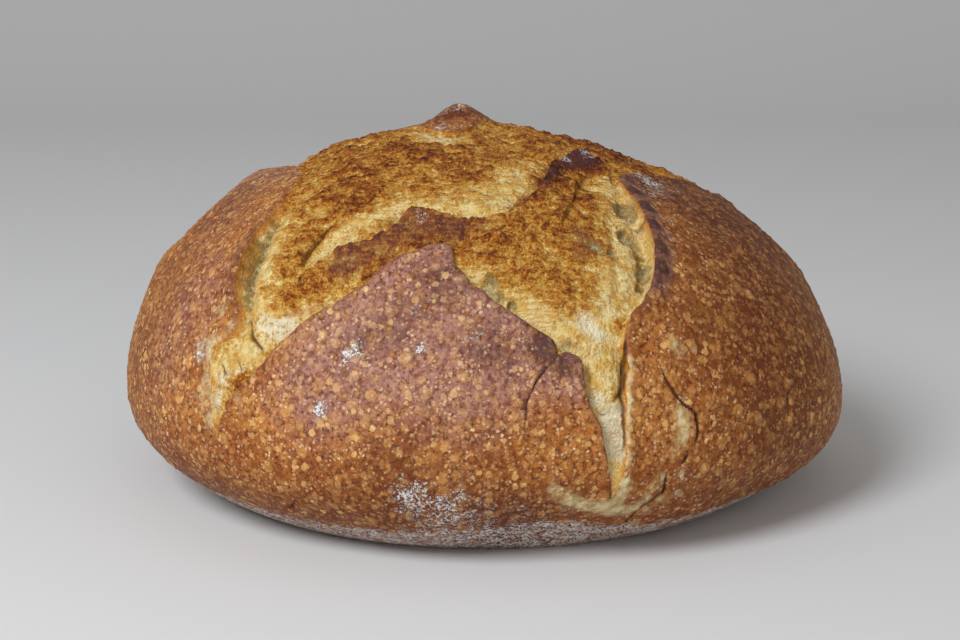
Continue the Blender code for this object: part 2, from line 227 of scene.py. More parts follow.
# A bubble's stretch down the loaf, its raggedness, how far its shaded brow hangs down, and
# the shares of its radius over which its pit and its painted hole end
BUBBLE_STRETCH = 0.72
BUBBLE_RAGGEDNESS = 0.2
BROW_DROP = 2.2
PIT_EDGE = (0.5, 1.05)
CUP_EDGE = (0.75, 1.05)

# How far the torn dough baked: each layer's share, and what shelter and paleness take off
BAKE_START = 0.55
BAKE_LAYERS = {"rough": 0.32, "flakes": 0.32, "coarse": 0.10, "grit": 0.16}
BAKE_SHELTERED = 0.6
BAKE_PALE = 0.7
SHELTER_DEPTH = 3.0
FLAP_TOAST = 0.35
FLAP_TOAST_REACH = 1.6

# The browned rim's share of the tear's wall at each side, and how far golden edges reach
RIM_LEFT = 0.7
RIM_RIGHT = 0.5
GOLDEN_WIDTH = 2.2

# Arcs from the crown over which the fibres turn down the loaf, and the crust grows redder
ARM_ARC = (106, 118)
LOW_ARC = (140, 195)

# The zones of each colour are soft and round: (u, v, radius, amount)
# Where the torn dough stayed pale
PALE_DOUGH = [
    (16, -31, 6, 0.8), (21, -20, 5, 0.6), (11, -45, 7, 0.8), (17, -40, 5, 0.6), (12, -53, 5, 0.7),
    (4, -57, 5, 0.7), (-5, -56, 5, 0.7), (-13, -54, 5, 0.8), (-21, -53, 5, 0.7), (-28, -56, 5, 0.7),
    (-35, -60, 4, 0.7), (-40, -62, 4, 0.6), (0, -48, 9, 0.25), (-16, 13, 4, 0.9), (-12, 6, 4, 0.9),
    (-7, 2, 4, 1.0), (-2, 6, 4, 0.7), (-24, 17, 6, 0.4), (-64, -46, 5, 0.8), (-68, -56, 5, 1.1),
    (-70, -64, 5, 1.1), (-72, -72, 5, 1.1), (-72, -50, 4, 0.8), (-77, -59, 4, 0.9),
    (-81, -69, 4, 0.9), (-75, -80, 6, 1.0), (-80, -90, 7, 0.9), (-92, -97, 8, 0.8),
    (-101, -97, 6, 0.8), (-105, -107, 5, 0.8), (-84, -99, 5, 0.7), (-70, -95, 6, 0.9),
    (-59, -94, 5, 0.7), (-47, -91, 4, 0.5), (47, -25, 5, 0.8), (50, -34, 7, 1.1), (54, -48, 7, 1.0),
    (54, -62, 7, 1.0), (53, -76, 8, 1.0), (50, -90, 8, 0.9), (47, -46, 4, 0.6), (46, -84, 6, 0.7),
    (44, -96, 6, 0.7), (-51, -73, 4, 1.1), (-46, -67, 4, 1.1), (-41, -67, 4, 0.7), (2, -92, 5, 0.6),
    (8, -99, 6, 0.9), (18, -105, 7, 1.0), (30, -110, 8, 1.0), (44, -108, 8, 1.0),
    (44, -120, 8, 1.1), (49, -133, 8, 1.2), (53, -145, 7, 1.2), (56, -158, 6, 1.0),
    (-66, 60, 14, 0.5), (-78, 88, 12, 0.6), (80, 44, 14, 0.4), (106, 70, 14, 0.5),
]
# Where the pale dough is whitest
CREAM_DOUGH = [
    (39, -104, 4, 1.0), (43, -108, 3, 0.8), (53, -135, 4, 1.2), (54, -141, 4, 1.2),
    (56, -148, 4, 1.0), (44, -131, 4, 0.8), (49, -139, 4, 0.6), (52, -148, 4, 0.5),
    (-67, -95, 4, 1.0), (-73, -95, 4, 1.0), (-76, -89, 4, 0.7), (-82, -99, 3, 0.5),
    (-90, -104, 4, 1.0), (-98, -101, 4, 0.9), (-104, -106, 4, 1.0), (6, -85, 3, 1.0),
    (-13, 9, 4, 0.7), (-7, 4, 4, 0.7), (50, -28, 3, 0.4), (57, -92, 4, 0.4), (20, -107, 4, 0.5),
]
# Where the torn dough baked darkest
TOASTED_DOUGH = [
    (-22, -11, 12, 0.2), (-39, -32, 10, 0.2), (2, -33, 6, 0.3), (-9, -22, 9, 0.2),
    (26, -35, 3, 0.5), (18, -50, 3, 0.4), (-20, -70, 12, 0.2), (-38, -80, 11, 0.15),
    (-4, -68, 8, 0.2), (38, -13, 6, 1.1), (32, -20, 5, 0.8), (26, -32, 4, 0.6), (20, -48, 4, 0.4),
    (38, -66, 9, 0.12), (36, -36, 10, 0.15), (38, -88, 7, 0.15), (-36, -48, 6, 0.25),
    (-52, -84, 7, 0.15), (-30, -20, 18, 0.1), (12, -6, 14, 0.15), (50, 16, 16, 0.25),
    (36, 40, 14, 0.3), (-62, -74, 5, 0.15), (-62, -84, 6, 0.1), (-92, -106, 4, 0.6),
    (-101, -108, 3, 0.4), (-84, -105, 3, 0.4), (46, -114, 5, 0.2), (47, -121, 5, 0.2),
    (-1, -93, 3, 0.7), (2, -98, 3, 0.6), (50, -100, 4, 0.4),
]
# Where the torn dough has the plum brown of crust
DUSKY_DOUGH = [
    (-20, -66, 9, 0.8), (-32, -76, 9, 0.6), (-44, -80, 8, 0.5), (-6, -69, 7, 0.9), (6, -66, 6, 0.5),
    (-42, -80, 5, 0.5), (26, -34, 3, 0.9), (24, -42, 3, 0.8), (19, -48, 3, 0.8), (15, -55, 3, 0.8),
    (31, -22, 4, 0.9), (35, -16, 5, 0.8), (37, -12, 7, 0.6), (37, -63, 4, 0.6), (38, -69, 4, 0.6),
    (36, -76, 4, 0.5),
]
# Russet strands in the torn dough
RUSSET_DOUGH = [
    (41, -65, 2, 0.9), (44, -65, 2, 0.9), (47, -66, 2, 0.9), (-58, -92, 2, 0.8), (-62, -92, 2, 0.9),
    (-66, -91, 2, 0.8), (-54, -91, 2, 0.7), (38, -99, 2, 0.7), (34, -101, 2, 0.6),
    (50, -98, 2, 0.6),
]
# Where the crust is plum brown rather than amber, partly as a painted cool sheen on the front
# The deepest plum, on the right plate's rim, is painted shade on the lip's dark side
PLUM_AND_SHADE_CRUST = [
    (-10, -88, 20, 1.2), (-36, -108, 22, 0.9), (12, -118, 20, 1.0), (33, -124, 9, 1.1),
    (24, -116, 6, 0.7), (-60, -122, 24, 0.8), (-10, -132, 26, 0.7), (53, -20, 4, 1.8),
    (55, -29, 4, 2.3), (58, -40, 4, 2.5), (61, -51, 4, 2.5), (63, -62, 4, 2.5), (63, -72, 4, 2.2),
    (62, -80, 4, 1.4), (-120, -70, 30, 0.45), (-72, 12, 20, 0.6), (-86, -20, 24, 0.4),
    (-96, -60, 20, 0.35), (-5, 34, 14, 0.6), (-30, 90, 40, 0.5), (40, 90, 40, 0.5),
]
# Where the crust is darkest: its own dark bake, plus painted shade on the right side and at the front
# foot
EMBER_AND_SHADE_CRUST = [
    (86, 2, 30, 1.1), (66, -12, 14, 0.9), (106, -52, 40, 0.7), (124, -100, 34, 0.5),
    (100, 60, 50, 0.6), (78, -90, 24, 0.3), (-10, 60, 40, 0.3), (-40, -164, 22, 0.6),
    (-80, -160, 24, 0.3), (-150, 60, 40, 0.3), (-5, 34, 10, 1.5), (-84, -8, 20, 0.55),
    (-124, -40, 36, 0.4), (0, -168, 30, 0.3), (10, -194, 24, 0.6),
]
# Where the crust stayed tan, beside the arms of the tear
TAN_CRUST = [
    (31, -168, 4, 0.6), (37, -170, 4, 0.7), (43, -171, 4, 0.8), (49, -171, 4, 0.8),
    (55, -170, 4, 0.9), (61, -169, 4, 0.9), (67, -168, 4, 0.7), (73, -165, 4, 0.7),
    (76, -158, 4, 0.7), (78, -149, 4, 0.6), (84, -156, 3, 0.5), (82, -163, 3, 0.6),
    (82, -170, 3, 0.5), (76, -122, 3, 0.5), (79, -126, 4, 0.8), (80, -132, 4, 0.8),
    (79, -138, 3, 0.6), (63, -157, 3, 1.0), (63, -163, 3, 1.1), (59, -169, 3, 1.0),
    (-100, -84, 5, 0.6), (-108, -98, 5, 0.7), (-112, -108, 5, 0.5), (-94, -112, 4, 0.5),
    (72, -102, 5, 0.4), (-88, -84, 3, 0.5), (-90, -76, 3, 0.5),
]
# Where the crust's very edge beside the tear is golden
GOLDEN_EDGES = [
    (56, -116, 8, 1.2), (57, -128, 8, 1.2), (59, -140, 8, 1.2), (61, -152, 8, 1.0),
    (-98, -86, 8, 0.8), (-107, -98, 8, 0.8), (-112, -112, 8, 0.6),
]
# The largest blisters: (u, v, radius)
BIG_BLISTERS = [
    (-26, -121, 3.4), (-6, -130, 3.0), (-5, -146, 2.2), (2, -146, 2.4), (-45, -140, 3.2),
    (-34, -153, 2.2), (-60, -122, 3.6), (69, -101, 3.4), (77, -98, 2.6), (102, -96, 3.0),
    (112, -106, 2.6), (88, -114, 2.4), (120, -84, 2.6), (132, -114, 2.4), (128, -92, 2.2),
    (-72, -132, 2.6), (-64, -156, 2.4), (14, -138, 2.4), (-20, -100, 2.2), (-44, -112, 2.2),
    (20, -128, 2.0), (-110, -60, 2.8), (-120, -84, 2.4), (96, -60, 2.6),
]
# Where flour clings
FLOUR = [
    (-24, -190, 26, 0.75), (20, -192, 22, 0.6), (54, -188, 14, 0.5), (-34, -168, 7, 0.8),
    (-14, -174, 12, 0.4), (-44, -114, 4, 1.1), (-48, -116, 3, 0.9), (-62, -130, 3, 1.4),
    (-20, -118, 2.5, 1.1), (-104, -84, 4, 1.2), (-16, -64, 3, 0.95), (-4, 33, 6, 1.1),
    (-9, 19, 3.5, 1.3), (38, -10, 3.5, 1.2), (32, -18, 2.5, 1.1), (56, -12, 6, 0.75),
    (64, -13, 7, 0.75), (60, -24, 5, 0.75), (65, -40, 4, 0.65), (67, -54, 4, 0.55),
    (52, -80, 5, 0.3), (88, -146, 8, 0.6), (-20, -104, 5, 0.55), (0, -116, 8, 0.4),
    (30, 150, 30, 0.6), (-60, 160, 30, 0.6), (-20, 60, 14, 0.5),
]
# Flour rises from the foot: where it starts and where it is thick, up from the foot line
FLOUR_STARTS = 26.0
FLOUR_THICK = 18.0
MOST_FLOUR = 1.1

# The plates of crust: the turn where each starts and ends, from the right and against the clock
PLATES = [
    ("crust_right", -70, 36),
    ("crust_back", 36, 128),
    ("crust_left", 128, 224),
    ("crust_front", 224, 290),
]
BASE_RINGS = 14

# The camera, as fitted to the photograph
CAMERA_AIM = (-1.65, 0.0, 54.7)
CAMERA_HEIGHT_ANGLE = 13.3
CAMERA_DISTANCE = 750.0
CAMERA_LENS = 79.8

# The studio floor in metres: it runs forward from behind the loaf and curves up at the back
FLOOR_HALF_WIDTH = 3.0
FLOOR_FRONT = -3.0
FLOOR_BACK = 1.6
FLOOR_RISE = 2.2
FLOOR_BEND = 0.7


def loaf_section():
    """The plain loaf's half section from the crown to the foot: arc, radius ratio, height."""
    steps = np.linspace(0.0, np.pi / 2, 240)
    down = np.linspace(0.0, 1.0, 90)[1:]
    dome_ratio = np.sin(steps) ** (2 / DOME_FLATNESS_ACROSS)
    dome_rise = np.cos(steps) ** (2 / DOME_FLATNESS_UP)
    heel_ratio = BASE_RATIO + (1 - BASE_RATIO) * (1 - down ** HEEL_ROUNDNESS)
    ratio = np.concatenate([dome_ratio, heel_ratio])
    height = np.concatenate([
        BELLY_HEIGHT + (DOME_HEIGHT - BELLY_HEIGHT) * dome_rise,
        BELLY_HEIGHT * (1 - down),
    ])
    mean_radius = (HALF_WIDTH + HALF_DEPTH) / 2
    strides = np.hypot(np.diff(ratio * mean_radius), np.diff(height))
    return np.concatenate([[0.0], np.cumsum(strides)]), ratio, height


SECTION_ARC, SECTION_RATIO, SECTION_HEIGHT = loaf_section()
FOOT_ARC = SECTION_ARC[-1]


def plain_form(u, v):
    """The plain loaf's surface at places on the crust map."""
    arc = np.hypot(u, v)
    around = np.arctan2(v, u)
    ratio = np.interp(arc, SECTION_ARC, SECTION_RATIO)
    z = np.interp(arc, SECTION_ARC, SECTION_HEIGHT)
    radius = 1 / np.hypot(np.cos(around) / HALF_WIDTH, np.sin(around) / HALF_DEPTH)
    x = ratio * radius * np.cos(around)
    y = ratio * radius * np.sin(around)
    crown = np.clip(z / DOME_HEIGHT, 0, 1) ** 2
    x = x + CROWN_SHIFT_X * crown
    y = y + CROWN_SHIFT_Y * crown
    z = z + (RISE_ALONG_X * x + RISE_ALONG_Y * y) * crown
    return np.stack([x, y, z], axis=-1)


def outward(u, v):
    """Unit normals of the plain loaf, from small steps across the crust map."""
    step = 0.5
    across = plain_form(u + step, v) - plain_form(u - step, v)
    along = plain_form(u, v + step) - plain_form(u, v - step)
    normal = np.cross(across, along)
    return normal / np.linalg.norm(normal, axis=-1, keepdims=True)


def ease(value, low, high):
    """A smooth step from 0 at low to 1 at high."""
    share = np.clip((value - low) / (high - low), 0, 1)
    return share * share * (3 - 2 * share)


def smooth_noise(points, length, shift=0.0):
    """Smooth noise between about -1 and 1, with features of the given length."""
    return np.array([noise.noise(point) for point in (points / length + shift).tolist()])


def crag_noise(points, length, octaves, shift=0.0, softness=0.4):
    """Rough noise in several octaves, about -1 to 1; low softness keeps the finest octaves strong."""
    return np.array([noise.fractal(point, softness, 2.1, octaves)
                     for point in (points / length + shift).tolist()])


def patches(zones, u, v):
    """The summed strength of soft round zones on the crust map."""
    total = np.zeros_like(u)
    for centre_u, centre_v, radius, amount in zones:
        total += amount * np.exp(-((u - centre_u) ** 2 + (v - centre_v) ** 2) / radius ** 2)
    return total


class MapLine:
    """A smooth line on the crust map, which carries two more values along its length."""

    def __init__(self, points, closed=False, raggedness=0.0):
        self.closed = closed
        self.samples = self.curve(np.array(points, float))
        strides = np.hypot(*np.diff(self.samples[:, :2], axis=0).T)
        self.along = np.concatenate([[0.0], np.cumsum(strides)])
        if raggedness:
            self.roughen(raggedness)
        self.tree = kdtree.KDTree(len(self.samples))
        for index, (u, v) in enumerate(self.samples[:, :2].tolist()):
            self.tree.insert((u, v, 0), index)
        self.tree.balance()

    def curve(self, points, spacing=0.7):
        count = len(points)
        samples = []
        for span in range(count if self.closed else count - 1):
            picks = [span - 1, span, span + 1, span + 2]
            if self.closed:
                before, start, end, after = (points[pick % count] for pick in picks)
            else:
                before, start, end, after = (points[min(max(pick, 0), count - 1)] for pick in picks)
            pieces = max(2, int(np.hypot(*(end - start)[:2]) / spacing))
            for t in np.arange(pieces) / pieces:
                samples.append(0.5 * (2 * start + (end - before) * t
                                      + (2 * before - 5 * start + 4 * end - after) * t ** 2
                                      + (3 * start - before - 3 * end + after) * t ** 3))
        samples.append(points[0] if self.closed else points[-1])
        samples = np.array(samples)
        samples[:, 2:] = np.maximum(samples[:, 2:], 0)
        return samples

    def roughen(self, raggedness):
        """Waver the line sideways, as a torn edge does; both ends keep their place."""
        steady = np.minimum(ease(self.along, 0, 6), ease(self.along[-1] - self.along, 0, 6))
        track = np.stack([self.along, 0 * self.along, 0 * self.along], axis=1)
        for axis in (0, 1):
            waver = smooth_noise(track, 6.0, 3.3 + axis) + 0.5 * smooth_noise(track, 2.2, 7.7 + axis)
            self.samples[:, axis] += raggedness * steady * waver

    def nearest(self, u, v):
        """Nearest point, distance, side, carried values and length along, for each place."""
        picks = np.array([self.tree.find((a, b, 0))[1] for a, b in zip(u.tolist(), v.tolist())])
        place = np.stack([u, v], axis=1)
        best = None
        last = len(self.samples) - 2
        for shift in (-1, 0):
            span = picks + shift
            span = span % (last + 1) if self.closed else np.clip(span, 0, last)
            start, end = self.samples[span], self.samples[span + 1]
            run = (end - start)[:, :2]
            reach = ((place - start[:, :2]) * run).sum(axis=1)
            share = reach / np.maximum((run ** 2).sum(axis=1), 1e-9)
            share = np.clip(share, 0, 1)[:, None]
            point = start + share * (end - start)
            gap = place - point[:, :2]
            far = np.hypot(gap[:, 0], gap[:, 1])
            side = np.sign(run[:, 0] * gap[:, 1] - run[:, 1] * gap[:, 0])
            along = self.along[span] + share[:, 0] * (self.along[span + 1] - self.along[span])
            found = np.column_stack([point, far, side, along])
            best = found if best is None else np.where((far < best[:, 4])[:, None], found, best)
        return best.T

    def holds(self, u, v):
        """Whether each place lies inside the closed line, by counting crossings."""
        x1, y1 = self.samples[:-1, 0], self.samples[:-1, 1]
        x2, y2 = self.samples[1:, 0], self.samples[1:, 1]
        rise = np.where(y2 == y1, 1e-9, y2 - y1)
        answers = []
        for part_u, part_v in zip(np.array_split(u, 40), np.array_split(v, 40)):
            straddles = (y1 > part_v[:, None]) != (y2 > part_v[:, None])
            crossing = x1 + (part_v[:, None] - y1) * (x2 - x1) / rise
            answers.append((straddles & (part_u[:, None] < crossing)).sum(axis=1) % 2 == 1)
        return np.concatenate(answers)

    def gather(self, u, v, reach, power):
        """Draw places towards the line, so that its edge is sharp."""
        at_u, at_v, _, _, far, _, _ = self.nearest(u, v)
        shrink = np.where(far < reach, np.maximum(far, 1e-6) / reach, 1) ** (power - 1)
        return at_u + (u - at_u) * shrink, at_v + (v - at_v) * shrink


TEAR = MapLine(TEAR_EDGE, closed=True, raggedness=0.9)
FLAP = MapLine(FLAP_EDGE, raggedness=0.9)


def crust_grid():
    """A square grid wrapped over the crust map as a disc, with finer cells at the crown."""
    ticks = np.linspace(-1, 1, CELLS_ACROSS + 1)
    a, b = np.meshgrid(ticks, ticks, indexing="ij")
    ring = np.maximum(np.abs(a), np.abs(b))
    wide = np.abs(a) >= np.abs(b)
    along = np.where(wide, a, b)
    across = np.where(wide, b, a)
    turn = np.pi / 4 * across / np.where(along == 0, 1, along)
    flat_u = np.where(wide, along * np.cos(turn), along * np.sin(turn))
    flat_v = np.where(wide, along * np.sin(turn), along * np.cos(turn))
    arc = FOOT_ARC * (CROWN_FINENESS + (1 - CROWN_FINENESS) * ring ** 2)
    return (flat_u * arc).ravel(), (flat_v * arc).ravel(), ring.ravel() > 1 - 1e-9


def flaky_steps(points, length, shift=0.0):
    """Noise in terraces with crisp edges, as thin layers of crust break."""
    levels = 3.0 * crag_noise(points, length, 3, shift, 0.7)
    floor = np.floor(levels)
    return (floor + ease(levels - floor, 0.6, 1.0)) / 3.0


def streaks(along, far, fade):
    """Points for noise that runs in streaks along an edge."""
    return np.stack([along, far * fade, 0 * far], axis=1)


class Surface:
    """The finished surface at places on the crust map, layer by layer."""

    def __init__(self, u, v):
        self.u, self.v = u, v
        self.arc = np.hypot(u, v)
        self.plain = plain_form(u, v)
        self.torn = TEAR.holds(u, v)
        self.edge_u, self.edge_v, self.lip, self.groove, self.far, _, self.along = TEAR.nearest(u, v)
        _, _, self.flap_rise, self.flap_groove, self.flap_far, side, flap_along = FLAP.nearest(u, v)
        self.on_flap = side < 0
        self.flap_streaks = streaks(flap_along, self.flap_far, EDGE_FADE)

        self.coarse = COARSE_HEIGHT * smooth_noise(self.plain, COARSE_LENGTH)
        self.rough = crag_noise(self.plain, ROUGH_LENGTH, 4)
        self.grit = crag_noise(self.plain, GRIT_LENGTH, 2, 8.0)
        self.flakes = flaky_steps(self.plain, FLAKE_LENGTH, 4.0)
        self.calm = np.clip(patches(PALE_DOUGH, u, v), 0, 1)

        track = streaks(self.along, self.far, EDGE_FADE)
        self.ragged_lip = (self.lip * (1 + LIP_WAVER * smooth_noise(track, 5.0, 1.7))
                           + LIP_WAVER * self.lip * smooth_noise(track, 1.6, 5.1))
        self.wall_width = WALL_WIDTH + WALL_SLANT * self.groove
        past_wall = np.maximum(self.far - self.wall_width, 0)
        self.tear_groove = self.groove * np.exp(-(past_wall / GROOVE_REACH) ** 2)
        self.past_flap = self.flap_groove * np.exp(-(self.flap_far / FLAP_GROOVE_REACH) ** 2)
        low_edge = np.clip(STEEP_RISE - self.flap_rise, 0, 1)
        self.flap_wall = ease(self.flap_far / (FLAP_WALL + GENTLE_WALL * low_edge), 0, 1)

        self.blisters()
        self.bubbles()
        self.cracks()

    def near_bubble(self, bubble, drop=0.0):
        """Distance from one bubble's middle as a share of its radius, with a ragged edge."""
        centre_u, centre_v, radius, _ = bubble
        reach = np.hypot(self.u - centre_u, BUBBLE_STRETCH * (self.v + drop - centre_v)) / radius
        return reach + BUBBLE_RAGGEDNESS * self.rough

    def bubbles(self):
        """Open bubbles in the crumb: how deep, how far inside one, and how far under its brow, where
        shade is painted.
        """
        self.pits = np.zeros_like(self.u)
        self.bubble = np.zeros_like(self.u)
        self.roof = np.zeros_like(self.u)
        for bubble in BUBBLES:
            reach = self.near_bubble(bubble)
            self.pits = np.maximum(self.pits, bubble[3] * (1 - ease(reach, *PIT_EDGE)))
            self.bubble = np.maximum(self.bubble, 1 - ease(reach, *CUP_EDGE))
            above = self.near_bubble(bubble, BROW_DROP)
            self.roof = np.maximum(self.roof, 1 - ease(above, *CUP_EDGE))

    def blisters(self):
        """Small blisters strewn over the crust, and the large ones in their places."""
        nearest = np.array([noise.voronoi(point, distance_metric="DISTANCE")[0][0]
                            for point in (self.plain / BLISTER_CELL).tolist()])
        size = BLISTER_SIZE + BLISTER_SPREAD * smooth_noise(self.plain, 2.6, 2.0)
        self.blister = ease(size - nearest, 0.0, 0.2)
        self.domes = np.zeros_like(self.u)
        for centre_u, centre_v, radius in BIG_BLISTERS:
            reach = np.hypot(self.u - centre_u, self.v - centre_v) / radius + 0.2 * self.rough
            self.domes = np.maximum(self.domes, 1 - ease(reach, 0.5, 1.1))

    def cracks(self):
        """Fine cracks: how deep they cut, and how strongly painted shade darkens them."""
        self.cut = np.zeros_like(self.u)
        self.crack_shade = np.zeros_like(self.u)
        for points in CRACKS:
            line = MapLine(points, raggedness=CRACK_RAGGEDNESS)
            middle_u, middle_v = line.samples[:, :2].mean(axis=0)
            near = np.hypot(self.u - middle_u, self.v - middle_v) < CRACK_SPAN
            _, _, depth, half, gap, _, _ = line.nearest(self.u[near], self.v[near])
            notch = np.exp(-(gap / np.maximum(half, 0.1)) ** 2)
            self.cut[near] += depth * notch
            self.crack_shade[near] = np.maximum(self.crack_shade[near], np.clip(depth, 0, 1) * notch)

    def crust_height(self):
        """The plates of crust: a lip along the tear, a bead and a hollow beside it, and blisters."""
        corner = CORNER_DROP * np.clip(1 - self.far / CORNER_WIDTH, 0, 1) ** 2
        lip = self.ragged_lip * np.exp(-(self.far / LIP_REACH) ** LIP_SHARPNESS)
        bead = np.exp(-((self.far - BEAD_PLACE) / BEAD_WIDTH) ** 2)
        hollow = np.exp(-((self.far - HOLLOW_PLACE) / HOLLOW_WIDTH) ** 2)
        skin = SKIN_HEIGHT * crag_noise(self.plain, SKIN_LENGTH, 3, 6.0)
        return (lip - corner * np.clip(self.lip, 0, 1) + BLISTER_RISE * self.blister
                + BIG_BLISTER_RISE * self.domes + skin
                + BEAD_HEIGHT * self.ragged_lip * (bead - hollow))

    def torn_height(self):
        """The torn crown: a wall down from the lip, the flap on its floor, crags and open bubbles."""
        wall = ease(self.far / self.wall_width, 0, 1)
        clear = ease(self.far / self.wall_width, 0.1, 1.0)
        flap_top = (self.flap_rise * np.exp(-(self.flap_far / FLAP_FALL) ** FLAP_SHARPNESS)
                    * (1 + FLAP_WAVER * smooth_noise(self.flap_streaks, 3.0)))
        grooves = np.maximum(self.tear_groove, self.past_flap)
        beside = self.flap_rise * (1 - self.flap_wall) - grooves * self.flap_wall
        sink = SINK_SHARE * self.groove * np.exp(-self.far / TORN_BULGE_REACH)
        floor = np.where(self.on_flap, flap_top - self.tear_groove, beside) - sink

        fade = np.exp(-self.far / STRAND_REACH)
        fade = fade + np.where(self.on_flap, 0, np.exp(-self.flap_far / FLAP_STRAND_REACH))
        strands = smooth_noise(streaks(self.along, self.far, STRAND_FADE), STRAND_LENGTH, 9.0)
        layers = self.mix(LAYER_HEIGHTS)
        crags = self.coarse + (1 - PALE_CALM * self.calm) * layers + STRAND_HEIGHT * strands * fade
        edge = self.ragged_lip - CORNER_DROP * np.clip(self.lip, 0, 1)
        return edge * (1 - wall) + (floor + crags * clear) * wall - self.pits * clear

    def places(self):
        """The surface's points in millimetres: raised along the normal, and leaning over the tear."""
        height = np.where(self.torn, self.torn_height(), self.crust_height())
        height += self.zoned(SWELLS) + UNEVEN_SWELL * smooth_noise(self.plain, UNEVEN_LENGTH)
        height = (height - self.cut) * ease(FOOT_ARC - self.arc, 0, FOOT_SETTLE)

        down_wall = np.clip(self.far / (UNDERCUT_WALLS * self.wall_width), 0, 1)
        lean = np.where(self.torn, UNDERCUT * np.sin(np.pi * down_wall), 0)
        fall = np.where(self.torn, OVERHANG_INSIDE, OVERHANG_OUTSIDE)
        over = OVERHANG * np.exp(-(self.far / fall) ** 2)
        slide = self.lip * (over - lean) * np.where(self.torn, 1, -1)
        steer = np.maximum(self.far, 1e-4)
        moved_u = self.u + slide * (self.u - self.edge_u) / steer
        moved_v = self.v + slide * (self.v - self.edge_v) / steer
        places = plain_form(moved_u, moved_v) + height[:, None] * outward(moved_u, moved_v)
        places[:, 2] = np.maximum(places[:, 2], 0)
        return places

    def zoned(self, zones):
        return patches(zones, self.u, self.v)

    def mix(self, shares):
        return sum(share * getattr(self, layer) for layer, share in shares.items())

    def bake(self):
        """How far the torn dough baked, from about 0 where it is pale to 1 where it is brown."""
        past_flap = np.where(self.on_flap, 0, self.past_flap * self.flap_wall)
        shelter = np.maximum(self.tear_groove, past_flap) / SHELTER_DEPTH * self.torn
        flap_edge = self.on_flap * self.flap_rise / 4 * np.exp(-self.flap_far / FLAP_TOAST_REACH)
        return (BAKE_START + self.mix(BAKE_LAYERS) - BAKE_SHELTERED * shelter + self.zoned(TOASTED_DOUGH)
                - BAKE_PALE * self.zoned(PALE_DOUGH) + FLAP_TOAST * flap_edge)

    def threads(self):
        """Threads of dough that were drawn out along the tear."""
        broad = smooth_noise(streaks(self.along * 0.14, self.far, 0.7), 1.0, 2.2)
        fine = smooth_noise(streaks(self.along * 0.3, self.far, 1.3), 1.0, 5.6)
        return ease(broad + 0.5 * fine, 0.1, 0.6) * self.calm

    def rim(self, golden):
        """The browned edge of the crust, on the wall of the tear and on the rolled lip."""
        share = np.where(self.u > 0, RIM_RIGHT, RIM_LEFT)
        wall_end = 1 - ease(self.far / (share * self.wall_width), 0.5, 1.1)
        rolled = np.exp(-(self.far / (1.0 + 0.9 * self.lip)) ** 2) * np.clip(self.lip / 2.5, 0, 1)
        on_crust = rolled * (1 - np.clip(golden, 0, 1))
        return np.where(self.torn, wall_end * np.clip(self.groove, 0, 1), on_crust)

    def paints(self):
        """The values that the finishes read from the surface."""
        golden = self.zoned(GOLDEN_EDGES) * np.exp(-(self.far / GOLDEN_WIDTH) ** 2)
        foot_flour = ease(self.arc, FOOT_ARC - FLOUR_STARTS, FOOT_ARC - FLOUR_THICK)
        dusting = np.minimum(self.zoned(FLOUR), 1.0)
        from_edge = self.far - np.where(self.u > 0, 0.0, 0.5)
        return {
            "bake": self.bake(),
            "pale": self.calm,
            "cream": self.zoned(CREAM_DOUGH),
            "russet": self.zoned(RUSSET_DOUGH),
            "thread": self.threads(),
            "arm": ease(self.arc, *ARM_ARC),
            "rim": self.rim(golden),
            "blister": np.where(self.torn, 0, np.maximum(self.blister, self.domes)),
            # Plum crust with its painted sheen and rim shade; in the torn dough, only the dusky dough
            "plum_and_shade": np.where(self.torn, self.zoned(DUSKY_DOUGH), self.zoned(PLUM_AND_SHADE_CRUST)),
            # Dark bake, with painted shade on the right side and a painted shadow at the front foot
            "ember_and_shade": self.zoned(EMBER_AND_SHADE_CRUST),
            "tan": np.clip(self.zoned(TAN_CRUST) + 0.55 * golden + 0.3 * self.domes, 0, 1.2),
            "low": ease(self.arc, *LOW_ARC),
            "flour": np.minimum(dusting + MOST_FLOUR * foot_flour, MOST_FLOUR),
            # Painted shade inside the cracks
            "crack_shade": self.crack_shade,
            "bubble": self.bubble * self.torn * ease(from_edge, 0.8, 1.6),
            # Painted shade under each open bubble's upper edge
            "brow_shade": self.bubble * (1 - self.roof) * self.torn,
        }


def crust_faces():
    """Every cell of the grid as a quad."""
    side = CELLS_ACROSS + 1
    rows, columns = np.meshgrid(np.arange(CELLS_ACROSS), np.arange(CELLS_ACROSS), indexing="ij")
    first = (rows * side + columns).ravel()
    return np.stack([first, first + side, first + side + 1, first + 1], axis=1)


def face_normals(places, faces):
    first, second, third, fourth = (places[corner] for corner in faces.T)
    return np.cross(third - first, fourth - second)


def vertex_normals(places, faces):
    """Smooth normals of the whole crust, so that its pieces meet without a seam."""
    normals = np.zeros_like(places)
    facing = face_normals(places, faces)
    for corner in range(faces.shape[1]):
        for axis in range(3):
            normals[:, axis] += np.bincount(faces[:, corner], facing[:, axis], len(places))
    return normals / np.maximum(np.linalg.norm(normals, axis=1, keepdims=True), 1e-9)


def put_in_scene(name, data):
    thing = bpy.data.objects.new(name, data)
    bpy.context.scene.collection.objects.link(thing)
    return thing


def make_piece(name, places, normals, paints, faces, finish):
    """One piece of the loaf, from some faces of the whole surface."""
    used, small = np.unique(faces, return_inverse=True)
    small = small.reshape(faces.shape)
    mesh = bpy.data.meshes.new(name)
    mesh.from_pydata((places[used] * MILLIMETRE).tolist(), [], small.tolist())
    for paint, values in paints.items():
        layer = mesh.attributes.new(paint, "FLOAT", "POINT")
        layer.data.foreach_set("value", values[used].astype(np.float32))
    mesh.shade_smooth()
    mesh.normals_split_custom_set_from_vertices(normals[used].tolist())
    mesh.materials.append(finish)
    piece = put_in_scene(name, mesh)
    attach(piece, "root")
    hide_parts("loaf")
    return piece


